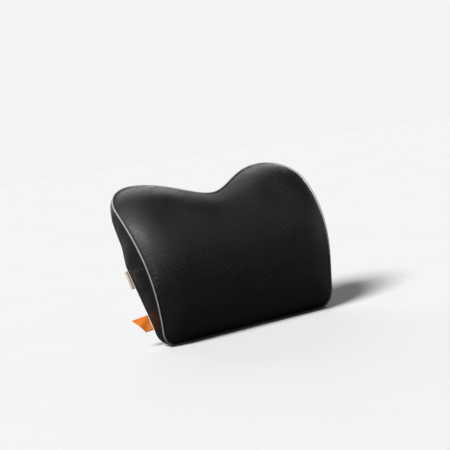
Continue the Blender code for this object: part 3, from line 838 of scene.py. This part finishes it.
def vertex_normals(points, faces):
    """Each point's normal, from the triangles round it."""
    corners = np.array(faces)
    a, b, c = (points[corners[:, k]] for k in range(3))
    area = np.cross(b - a, c - a)
    normals = np.zeros_like(points)
    for k in range(3):
        np.add.at(normals, corners[:, k], area)
    return normals / np.maximum(np.linalg.norm(normals, axis=1), 1e-12)[:, None]


def outward(points, faces, direction=(0.0, -1.0, 0.0)):
    """The faces, each turned to face a direction."""
    points = np.asarray(points)
    tri = np.array([f[:3] for f in faces])
    a, b, c = points[tri[:, 0]], points[tri[:, 1]], points[tri[:, 2]]
    wrong = (np.cross(b - a, c - a) @ np.array(direction)) < 0
    return [tuple(reversed(f)) if bad else tuple(f) for f, bad in zip(faces, wrong)]


def filled(loop, spacing):
    """The region inside a loop as triangles: rows of points near its edge and a staggered grid inside."""
    inward = inward_of(loop)
    rings = np.concatenate([loop + inward * inset for inset in EDGE_RINGS])
    low, high = loop.min(axis=0), loop.max(axis=0)
    columns, rows = ((high - low) / spacing).astype(int) + 1
    cells = [(column + 0.5 * (row % 2), row) for row in range(rows) for column in range(columns)]
    grid = low + np.array(cells) * spacing
    rings = rings[edge_distance(rings, loop, inward)[0] > EDGE_RINGS[0] * 0.7]
    grid = grid[edge_distance(grid, loop, inward)[0] > EDGE_RINGS[-1] * 1.5]
    flat = np.concatenate([loop, rings, grid])
    edges = [(k, (k + 1) % len(loop)) for k in range(len(loop))]
    spots, _, triangles, _, _, _ = delaunay_2d_cdt([Vector(p) for p in flat], edges, [], 1, 1e-7)
    return np.array([tuple(p) for p in spots]), [tuple(t) for t in triangles]


def front_backing(field):
    """The grey foam laminate under the perforations."""
    spots, triangles = filled(rim_loop(RIM_INSET + 0.0004, 300), 0.0055)
    points = front_surface(field, spots)
    points[:, 1] += LEATHERETTE + GAP
    points = settled(points)
    faces = outward(points, triangles)
    return cloth_piece("front_backing_laminate", points, faces, "grey_backing", "front_backing", BACKING)


def side_band(puff):
    """The side band round the sides and the lobes. It bulges between its seams and turns in at them."""
    corner = FOOT_STRAIGHT / PERIMETER
    count = 330
    share = np.linspace(corner, 1 - corner, count)
    index = np.clip((share * len(LOOP)).astype(int), 0, len(LOOP) - 1)
    edge, inward = LOOP[index], INWARD[index]
    steepness = np.gradient(depth_at(LOOP[:, 1]))[index] / (PERIMETER / len(LOOP))
    stretch = np.hypot(1.0, steepness)
    front = -depth_at(edge[:, 1]) + (PIPING_RADIUS + 2 * GAP) * stretch
    back = np.full(count, -LEATHERETTE - GAP)
    near_seam = [0.0, 0.012, 0.03, 0.06, 0.12]
    rows = np.array(near_seam + [0.2, 0.3, 0.4, 0.5, 0.6, 0.7, 0.8, 0.88, 0.94, 0.97, 0.988, 1.0])
    flat = np.concatenate([lifted(edge, back + (front - back) * row) for row in rows])
    width = np.tile(back - front, len(rows))
    way = np.repeat(rows, count)
    to_back, to_front = width * way, width * (1 - way)
    swell = puff.at(settled(flat))
    fade = smoothstep(np.minimum(to_back, to_front), 0.001, 0.016)
    out = -np.tile(lifted(inward, np.zeros(count)), (len(rows), 1))
    bulge = (swell * out).sum(axis=1) * fade
    bulge += SIDE_BOW * 4 * way * (1 - way) * smoothstep(width, 0.010, 0.050)
    bulge -= SEAM_TURN * (bell(to_back, SEAM_TURN_WIDTH) + bell(to_front, SEAM_TURN_WIDTH))
    along = np.tile(share * PERIMETER, len(rows))
    bulge += pucker(along, to_front, 0.006, 0.00020) + pucker(along + 0.005, to_back, 0.006, 0.00020)
    shares = np.tile(share, len(rows))
    ends = np.minimum(shares - corner, 1 - corner - shares) * PERIMETER
    bulge -= END_TURN * bell(ends, SEAM_TURN_WIDTH)
    points = settled(flat + out * bulge[:, None])
    points[:, 2] = np.maximum(points[:, 2], points[:, 1] * math.tan(LEAN))
    faces = turned_out(points, grid_faces(len(rows), count), out)
    piece = cloth_piece("gusset_band_leather", points, faces, "smooth_black", "gusset_band", LEATHERETTE)
    return piece, float(width[:count].mean() * (1 - 2 * corner) * PERIMETER)


def turned_out(points, faces, out):
    """The faces, all turned the way in which most of them face out."""
    a, b, c = (points[[f[k] for f in faces]] for k in (0, 1, 2))
    facing = (np.cross(b - a, c - a) * out[[f[0] for f in faces]]).sum()
    return faces if facing > 0 else [tuple(reversed(f)) for f in faces]


def foot_strip():
    """The strip that the cushion stands on: flat, with its edges turned up into the seams."""
    low, high = [Vector(corner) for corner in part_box("gusset_base")]
    columns, rows = 90, 13
    across = np.linspace(low.x, high.x, columns)
    deep = np.linspace(low.y, high.y, rows)
    x, y = (grid.ravel() for grid in np.meshgrid(across, deep))
    edge = np.minimum(np.minimum(x - low.x, high.x - x), np.minimum(y - low.y, high.y - y))
    z = low.z + 0.0007 * bell(edge, 0.0013)
    points = to_cushion(stacked(x, y, z))
    faces = outward(points, grid_faces(rows, columns), AXES @ np.array([0.0, 0.0, -1.0]))
    return cloth_piece("gusset_base_leather", points, faces, "smooth_black", "gusset_base", LEATHERETTE * 0.8)


def piping():
    """The light piping round the front seam, a little uneven as sewn piping is."""
    count, sides = 560, 12
    pick = (np.arange(count) * len(LOOP) / count).astype(int)
    edge = LOOP[pick] + INWARD[pick] * SEAM_INSET
    centres = settled(lifted(edge, -depth_at(LOOP[pick, 1])))
    grounded = straight_to_world(centres)
    grounded[:, 2] = np.maximum(grounded[:, 2], PIPING_RADIUS * 1.04)
    centres = to_cushion(grounded)
    tangent = unit(np.roll(centres, -1, axis=0) - np.roll(centres, 1, axis=0))
    out = -lifted(INWARD[pick], np.zeros(count))
    out = unit(out - tangent * (out * tangent).sum(axis=1)[:, None])
    side = np.cross(tangent, out)
    along = np.arange(count) / count * PERIMETER
    swell = 1 + 0.035 * np.sin(along * 2 * math.pi / 0.011 + 2.0 * np.sin(along * 2 * math.pi / 0.083))
    points = tube(centres, out, side, (PIPING_RADIUS * swell)[:, None], sides)
    faces = grid_faces(count, sides, closed=True, joined=True)
    faces = turned_out(points, faces, points - np.repeat(centres, sides, axis=0))
    object_from("piping_sleeve_round", points, faces, "piping_grey", "piping_sleeve", angle=180.0)


# The back


def width_at(z):
    """Half the outline's width at a height on its side."""
    side = (LOOP[:, 0] > HALF * 0.55) & (np.arange(len(LOOP)) < len(LOOP) // 2)
    order = np.argsort(LOOP[side, 1])
    return float(np.interp(z, LOOP[side, 1][order], LOOP[side, 0][order]))


def back_height(puff, spots):
    """How far the back swells, with the zip's stretch kept flat."""
    swell = np.maximum(puff.at(lifted(spots, np.zeros(len(spots))))[:, 1], 0.0)
    distance, _ = edge_distance(spots, LOOP, INWARD)
    calm = smoothstep(np.abs(spots[:, 1] - ZIP_HEIGHT), 0.010, 0.045)
    return swell * calm * smoothstep(distance, 0.003, 0.030)


def dense(corners, spacing):
    """A closed loop through corners, with points close together along its straight runs."""
    points = []
    for start, end in zip(corners, corners[1:] + corners[:1]):
        start, end = np.array(start), np.array(end)
        steps = max(1, int(np.linalg.norm(end - start) / spacing))
        points.extend(start + (end - start) * k / steps for k in range(steps))
    return np.array(points)


def back_panel(puff, name, upper):
    """One of the two back panels, with a turned-in edge along the zip."""
    sign = 1 if upper else -1
    seam = ZIP_HEIGHT + sign * GAP / 2
    notch = ZIP_HEIGHT + sign * ZIP_OPENING / 2
    end = ZIP_LENGTH / 2 + 2 * STOP_LENGTH
    outer = width_at(seam) - 0.0002
    edge = [(-outer, seam), (-end, seam), (-end, notch), (end, notch), (end, seam), (outer, seam)]
    rim = LOOP + INWARD * 0.0002
    middle = len(LOOP) // 2
    if upper:
        side = rim[rim[:, 1] > seam + 0.0008][::3]
    else:
        edge = edge[::-1]
        turned = np.roll(rim, middle, axis=0)
        side = turned[turned[:, 1] < seam - 0.0008][::3]
    loop = np.array(list(dense(edge + [tuple(side[0])], 0.0025)[:-1]) + [tuple(p) for p in side])
    steps = np.linalg.norm(np.diff(loop, axis=0, append=loop[:1]), axis=1)
    loop = loop[steps > 0.0002]
    spots, triangles = filled(loop, 0.006)
    distance, _ = edge_distance(spots, loop, inward_of(loop))
    height = back_height(puff, spots) - 0.0008 * bell(distance, 0.0014)
    points = lifted(spots, height)
    faces = outward(points, triangles, (0.0, 1.0, 0.0))
    return cloth_piece(name + "_mesh", points, faces, "back_fabric", name, LEATHERETTE * 0.8)


def stitches(name, lines):
    """Rows of raised stitches. Each line is (start, end) in the cushion's frame, on the cloth's face."""
    points, faces = [], []
    sides, normal = 6, np.array([0.0, 1.0, 0.0])
    half = [(0.0, 0.15, -1.0), (0.12, 0.8, -0.2), (0.35, 1.0, 0.35)]
    profile = half + [(1 - share, size, lift) for share, size, lift in reversed(half)]
    for start, end in lines:
        start, end = np.array(start), np.array(end)
        length = np.linalg.norm(end - start)
        count = max(1, round(length / (STITCH_LENGTH + STITCH_GAP)))
        way = (end - start) / length
        across = np.cross(normal, way)
        for number in range(count):
            first = start + way * length * (number + 0.12) / count
            run = length * 0.76 / count
            base = len(points)
            for share, size, lift in profile:
                centre = first + way * run * share + normal * THREAD_RADIUS * lift
                for k in range(sides):
                    turn = 2 * math.pi * k / sides
                    reach = across * math.cos(turn) + normal * math.sin(turn)
                    points.append(centre + reach * THREAD_RADIUS * size)
            walls = grid_faces(len(profile), sides, closed=True)
            faces += [tuple(base + i for i in face) for face in walls]
            faces.append(tuple(base + k for k in range(sides)))
            faces.append(tuple(base + (len(profile) - 1) * sides + k for k in reversed(range(sides))))
    return object_from(name, np.array(points), faces, "zip_tape", angle=180.0)


def zip_stitches():
    """The topstitching that holds each back panel's edge to its zip tape."""
    half = ZIP_LENGTH / 2 + 1.5 * STOP_LENGTH
    for name, sign in (("upper", 1), ("lower", -1)):
        z = ZIP_HEIGHT + sign * (ZIP_OPENING / 2 + 0.0028)
        stitches("zip_topstitch_" + name, [((-half, 0.0, z), (half, 0.0, z))])


def zip_coil(name, sign):
    """One row of a fine nylon coil, whose loops reach the zip's middle line."""
    loops = int(ZIP_LENGTH / COIL_PITCH)
    steps, sides = 14, 6
    turns = np.arange(loops * steps + 1) / steps
    shift = 0.0 if sign > 0 else 0.5
    x = -ZIP_LENGTH / 2 + 0.0006 + (turns + shift * 0.9) * (ZIP_LENGTH - 0.0022) / loops
    angle = 2 * math.pi * turns
    reach = (TEETH_WIDTH - 2 * WIRE_RADIUS) / 2
    z = ZIP_HEIGHT + sign * (0.00005 + WIRE_RADIUS + reach - reach * np.cos(angle))
    middle = TEETH_TOP - 0.0007
    y = middle + (0.0007 - WIRE_RADIUS) * np.sin(angle)
    centres = stacked(x, y, z)
    tangent = unit(np.gradient(centres, axis=0))
    first = unit(np.cross(tangent, np.array([1.0, 0.0, 0.0])))
    second = np.cross(tangent, first)
    points = tube(centres, first, second, WIRE_RADIUS, sides)
    faces = grid_faces(len(centres), sides, closed=True)
    faces.append(tuple(reversed(range(sides))))
    faces.append(tuple(range(len(points) - sides, len(points))))
    object_from("zip_coil_" + name, points, faces, "zip_teeth", "zip_teeth_" + name, angle=180.0)


def retaining_band(puff):
    """The elastic band across the back, with a raised edge and a sewn box at each end."""
    half = width_at(BAND_HEIGHT) - BAND_MARGIN
    columns, rows = 150, 15
    across = np.linspace(-half, half, columns)
    up = np.linspace(-BAND_WIDTH / 2, BAND_WIDTH / 2, rows)
    x, z = (grid.ravel() for grid in np.meshgrid(across, up))
    spots = stacked(x, z + BAND_HEIGHT)
    height = back_height(puff, spots) + GAP + BAND_THICKNESS
    edge = BAND_WIDTH / 2 - np.abs(z)
    height -= 0.0004 * bell(edge, 0.0012)
    to_end = half - np.abs(x)
    height -= 0.0005 * bell(to_end, 0.0015)
    points = lifted(spots, height)
    faces = outward(points, grid_faces(rows, columns), (0.0, 1.0, 0.0))
    thickness = BAND_THICKNESS * 0.85
    piece = cloth_piece("retaining_band_elastic", points, faces, "elastic", "retaining_band", thickness)
    lines = []
    for side in (1, -1):
        inner, outer = side * (half - 0.024), side * (half - 0.004)
        low, high = BAND_HEIGHT - BAND_WIDTH / 2 + 0.004, BAND_HEIGHT + BAND_WIDTH / 2 - 0.004
        corners = [(inner, low), (outer, low), (outer, high), (inner, high)]
        pairs = list(zip(corners, corners[1:] + corners[:1])) + [corners[::2], corners[1::2]]
        for ends in np.array(pairs):
            lift = back_height(puff, ends) + GAP + BAND_THICKNESS + 0.00005
            lines.append(lifted(ends, lift))
    return piece, stitches("band_box_stitches", lines)


# The labels


def seam_place(z, length):
    """The middle of a stretch of the -X back seam, and the directions out of it and along it."""
    low = np.array([-width_at(z - length / 2), 0.0, z - length / 2])
    high = np.array([-width_at(z + length / 2), 0.0, z + length / 2])
    along = (high - low) / np.linalg.norm(high - low)
    out = np.array([-along[2], 0.0, along[0]])
    return (low + high) / 2 + out * 0.0004, out, along


def side_label():
    """A folded label: white satin that is tan where it enters the seam."""
    here, out, along = seam_place(LABEL_HEIGHT, LABEL_LENGTH)
    seam_dyed("label_white", (0.86, 0.83, 0.78), (0.42, 0.17, 0.05), to_world(here)[0], out @ AXES, LABEL_OUT)
    radius = (LABEL_THICKNESS - LABEL_CLOTH) / 2
    path = [(GAP + (LABEL_OUT - LABEL_THICKNESS / 2 - GAP) * k / 8, -LABEL_CLOTH / 2) for k in range(9)]
    for k in range(1, 8):
        turn = math.pi * k / 8
        path.append((path[8][0] + radius * math.sin(turn), -LABEL_CLOTH / 2 - radius * (1 - math.cos(turn))))
    path += [(p[0], -LABEL_CLOTH / 2 - 2 * radius) for p in reversed(path[:9])]
    rows = 25
    points = []
    for row in range(rows):
        share = row / (rows - 1)
        shift = (share - 0.5) * LABEL_LENGTH
        for reach, back in path:
            curl = 0.0011 * (reach / LABEL_OUT) ** 2 * (0.6 + 0.8 * math.sin(share * 5.0 + 0.6))
            points.append(here + out * reach + along * shift + np.array([0.0, back - curl, 0.0]))
    points = np.array(points)
    faces = grid_faces(rows, len(path))
    normals = np.tile(np.array([[0.0, 1.0, 0.0]]), (len(points), 1))
    normals[[i for i in range(len(points)) if i % len(path) > 12]] = (0.0, -1.0, 0.0)
    faces = turned_out(points, faces, normals)
    return cloth_piece("side_label_folded", points, faces, "label_white", "side_label", LABEL_CLOTH)


def orange_tab():
    """A plain orange tab near the foot, with a slight curl and a folded edge."""
    here, out, along = seam_place(TAB_HEIGHT, TAB_LENGTH)
    seam_dyed("label_orange", (0.98, 0.25, 0.02), (0.80, 0.18, 0.015), to_world(here)[0], out @ AXES, 0.006)
    rows, columns = 25, 25
    points = []
    for row in range(rows):
        share = row / (rows - 1)
        reach = TAB_OUT_LOW + (TAB_OUT_HIGH - TAB_OUT_LOW) * share
        for column in range(columns):
            far = column / (columns - 1)
            curl = 0.0022 * far**2 * math.sin(share * 3.4 + 0.4) + 0.0004 * math.sin(share * 9 + far * 4)
            step = out * (GAP + (reach - GAP) * far) + along * (share - 0.5) * TAB_LENGTH * (1 - 0.03 * far)
            points.append(here + step + np.array([0.0, -TAB_THICKNESS / 2 - curl, 0.0]))
    points = np.array(points)
    faces = outward(points, grid_faces(rows, columns))
    return cloth_piece("orange_tab_sewn", points, faces, "label_orange", "orange_tab", TAB_THICKNESS * 0.6)


def liner_sock(core):
    """The knit sock round the foam, open behind in a slot."""
    mesh = core.data.copy()
    mesh.update()
    points = to_cushion(vertex_array(mesh))
    normals = np.zeros(len(mesh.vertices) * 3)
    mesh.vertices.foreach_get("normal", normals)
    points += (normals.reshape(-1, 3) @ AXES.T) * (LINER + 0.0002)
    faces = []
    for polygon in mesh.polygons:
        centre = points[list(polygon.vertices)].mean(axis=0)
        slot = (centre[0] / 0.100) ** 2 + ((centre[2] - 0.145) / 0.036) ** 2
        if centre[1] < -0.012 or slot > 1.0:
            faces.append(tuple(polygon.vertices))
    bpy.data.meshes.remove(mesh)
    used = sorted({i for face in faces for i in face})
    new_index = {old: new for new, old in enumerate(used)}
    faces = [tuple(new_index[i] for i in face) for face in faces]
    thickness = LINER * 0.8
    cloth_piece("inner_liner_knit", points[used], faces, "knit_white", "inner_liner", thickness, 180.0)


def dress_cad_nodes():
    """Gives the carried-over CAD nodes their looks, and soft edges to the small castings."""
    for name, node in frame["nodes"].items():
        slot = next(part["material_slot"] for part in frame["record"]["subparts"] if part["node"] == name)
        if not node.material_slots:
            node.data.materials.append(MATERIALS[slot])
        for place in node.material_slots:
            place.material = MATERIALS[slot]
    for name in ("zip_slider", "zip_pull", "zip_end_stop", "zip_top_stop_upper", "zip_top_stop_lower"):
        soft = frame["nodes"][name].modifiers.new("edges", "BEVEL")
        soft.width = 0.00022
        soft.segments = 3
        soft.limit_method = "ANGLE"
        soft.angle_limit = math.radians(40.0)


# The stage


def make_floor():
    """A wide pale floor. Bounced rays see it darker, so that it doesn't brighten the black leather."""
    sides = 48
    mesh = bpy.data.meshes.new("floor")
    turns = [2 * math.pi * side / sides for side in range(sides)]
    rim = [(FLOOR_RADIUS * math.cos(turn), FLOOR_RADIUS * math.sin(turn), FLOOR_HEIGHT) for turn in turns]
    mesh.from_pydata(rim, [], [tuple(range(sides))])
    floor = bpy.data.objects.new("floor", mesh)
    bpy.context.scene.collection.objects.link(floor)
    made = bpy.data.materials.new("floor_paper")
    made.use_nodes = True
    tree = made.node_tree
    shader = tree.nodes["Principled BSDF"]
    shader.inputs["Specular IOR Level"].default_value = 0.0
    shader.inputs["Roughness"].default_value = 0.9
    place = add(tree, "TexCoord").outputs["Object"]
    paper = mix(tree, noise(tree, place, 0.3), (0.630, 0.630, 0.630, 1.0), (0.650, 0.650, 0.645, 1.0))
    tree.links.new(paper, shader.inputs["Base Color"])
    dim = add(tree, "BsdfDiffuse", [("Color", (0.11, 0.11, 0.11, 1.0))])
    path = add(tree, "LightPath").outputs["Is Camera Ray"]
    both = add(tree, "MixShader", [(0, path), (1, dim.outputs[0]), (2, shader.outputs[0])])
    tree.links.new(both.outputs[0], tree.nodes["Material Output"].inputs["Surface"])
    mesh.materials.append(made)


def make_world():
    """A pale world, which lights the object less than the camera sees of it."""
    world = bpy.data.worlds.new("studio")
    bpy.context.scene.world = world
    world.use_nodes = True
    tree = world.node_tree
    tree.nodes.clear()
    seen = add(tree, "Background", [("Color", (0.90, 0.90, 0.90, 1.0)), ("Strength", 1.0)])
    lit = add(tree, "Background", [("Color", (0.95, 0.97, 1.0, 1.0)), ("Strength", 0.09)])
    path = add(tree, "LightPath").outputs["Is Camera Ray"]
    both = add(tree, "MixShader", [(0, path), (1, lit.outputs[0]), (2, seen.outputs[0])])
    out = add(tree, "OutputWorld")
    tree.links.new(both.outputs[0], out.inputs["Surface"])


def sun_light(name, direction, energy, angle):
    light = bpy.data.lights.new(name, "SUN")
    light.energy = energy
    light.angle = math.radians(angle)
    lamp = bpy.data.objects.new(name, light)
    bpy.context.scene.collection.objects.link(lamp)
    lamp.rotation_mode = "QUATERNION"
    lamp.rotation_quaternion = Vector(direction).to_track_quat("-Z", "Y")


def make_lights():
    """A broad key from the front's upper left, a faint one at the right, and a low one on the back."""
    sun_light("key_left", (0.60, 0.20, -0.77), 4.8, 24.0)
    sun_light("rim_right", (-0.98, 0.07, -0.16), 0.30, 28.0)
    sun_light("back_fill", (-0.12, -0.96, -0.26), 1.6, 60.0)


def make_camera():
    """A viewpoint before the -X corner, a little above the cushion, with a small roll."""
    data = bpy.data.cameras.new("camera")
    data.sensor_width = 36.0
    data.lens = 18.0 / math.tan(math.radians(12.0))
    camera = bpy.data.objects.new("camera", data)
    bpy.context.scene.collection.objects.link(camera)
    right = Vector((0.88399, -0.44208, -0.15208)).normalized()
    forward = Vector((0.43020, 0.89654, -0.10554)).normalized()
    up = right.cross(forward).normalized()
    turn = Matrix((right, up, -forward)).transposed().to_4x4()
    camera.matrix_world = Matrix.Translation((-0.8591, -1.7566, 0.4030)) @ turn
    bpy.context.scene.camera = camera


def main():
    make_camera()
    make_materials()
    core, place, moved = puffed_core()
    puff = Puff(place, moved)
    field = front_field(puff)
    seat_under_cover(core, field)
    panel = front_panel(field)
    backing = front_backing(field)
    band, band_area = side_band(puff)
    base = foot_strip()
    piping()
    upper = back_panel(puff, "back_panel_upper", True)
    lower = back_panel(puff, "back_panel_lower", False)
    zip_stitches()
    zip_coil("upper", 1)
    zip_coil("lower", -1)
    elastic, box_stitches = retaining_band(puff)
    label = side_label()
    tab = orange_tab()
    liner_sock(core)
    tuck_core(core)
    dress_cad_nodes()
    make_floor()
    make_world()
    make_lights()
    bpy.context.scene.view_settings.view_transform = "Standard"


main()
